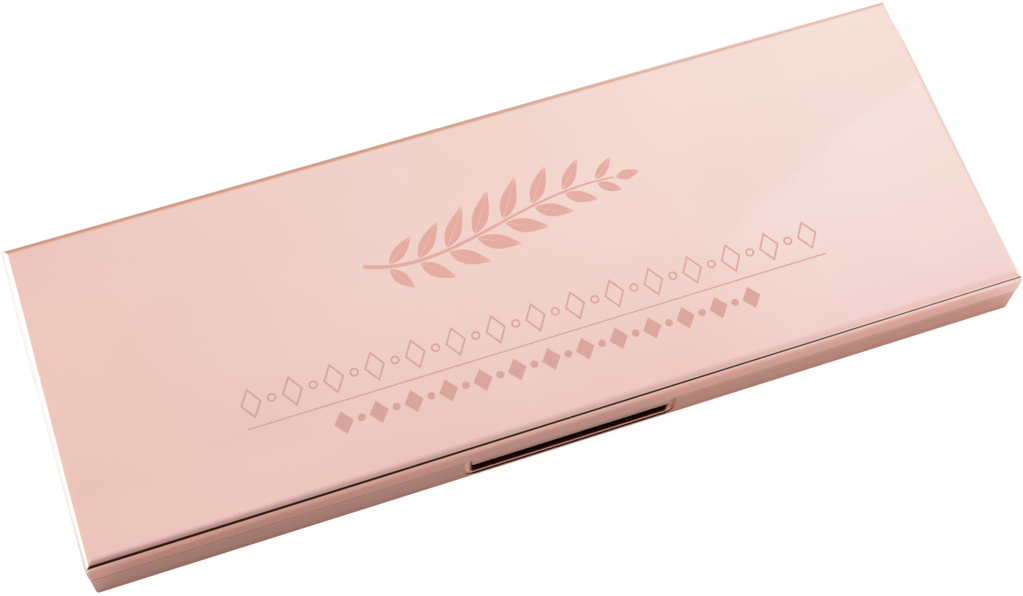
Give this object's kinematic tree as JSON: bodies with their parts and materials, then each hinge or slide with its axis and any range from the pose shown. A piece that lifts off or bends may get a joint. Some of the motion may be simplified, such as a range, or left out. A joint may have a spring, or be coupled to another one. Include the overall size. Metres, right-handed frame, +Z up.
{
  "type": "eyeshadow palette",
  "caption": "Slim rectangular hinged compact with a full-width mirror in the lid and round pans of pressed powder in a drop-in tray.",
  "frame": {"origin": "centre of the underside of the closed palette, hinge barrels included", "axes": "+X to the palette's right along its length, +Y to the rear where the hinge is, +Z up through the lid"},
  "size_m": [0.2, 0.0744, 0.0151],
  "materials": {
    "rose_gold_shell": "mirror-gloss rose-gold metallised plastic",
    "rose_gold_insert": "gloss rose-gold metallised plastic, slightly softer than the shells",
    "mirror_glass": "silvered float glass",
    "adhesive": "double-sided foam tape",
    "magnet_nickel": "nickel-plated neodymium magnet",
    "pin_steel": "drawn steel wire",
    "pan_tin": "drawn tinplate, bright",
    "powder_ivory": "pressed cosmetic powder, matt",
    "powder_sand": "pressed cosmetic powder, matt",
    "powder_terracotta_nude": "pressed cosmetic powder, matt",
    "powder_rosewood": "pressed cosmetic powder, matt",
    "powder_cocoa": "pressed cosmetic powder, matt",
    "powder_espresso": "pressed cosmetic powder, matt",
    "powder_vanilla": "pressed cosmetic powder, matt",
    "powder_peach_nude": "pressed cosmetic powder, matt",
    "powder_warm_clay": "pressed cosmetic powder, matt",
    "powder_copper_rose": "pressed cosmetic powder, matt",
    "powder_chestnut": "pressed cosmetic powder, matt",
    "powder_mulberry_brown": "pressed cosmetic powder, matt"
  },
  "bodies": {
    "base": {"base_shell": "rose_gold_shell", "pan_tray": "rose_gold_insert", "pan_adhesive_dots": "adhesive", "pan_front_1": "pan_tin", "pan_front_2": "pan_tin", "pan_front_3": "pan_tin", "pan_front_4": "pan_tin", "pan_front_5": "pan_tin", "pan_front_6": "pan_tin", "pan_rear_1": "pan_tin", "pan_rear_2": "pan_tin", "pan_rear_3": "pan_tin", "pan_rear_4": "pan_tin", "pan_rear_5": "pan_tin", "pan_rear_6": "pan_tin", "powder_front_1": "powder_ivory", "powder_front_2": "powder_sand", "powder_front_3": "powder_terracotta_nude", "powder_front_4": "powder_rosewood", "powder_front_5": "powder_cocoa", "powder_front_6": "powder_espresso", "powder_rear_1": "powder_vanilla", "powder_rear_2": "powder_peach_nude", "powder_rear_3": "powder_warm_clay", "powder_rear_4": "powder_copper_rose", "powder_rear_5": "powder_chestnut", "powder_rear_6": "powder_mulberry_brown", "base_magnet_left": "magnet_nickel", "base_magnet_right": "magnet_nickel", "hinge_pin_left": "pin_steel", "hinge_pin_right": "pin_steel"},
    "lid": {"lid_shell": "rose_gold_shell", "mirror_frame": "rose_gold_insert", "mirror": "mirror_glass", "mirror_adhesive_sheet": "adhesive", "lid_magnet_left": "magnet_nickel", "lid_magnet_right": "magnet_nickel"}
  },
  "joints": [
    {"name": "lid_hinge", "type": "hinge", "parent": "base", "child": "lid", "pos_m": [0, 0.03547, 0.00855], "axis": [-1, 0, 0], "range_deg": [0, 125]}
  ]
}
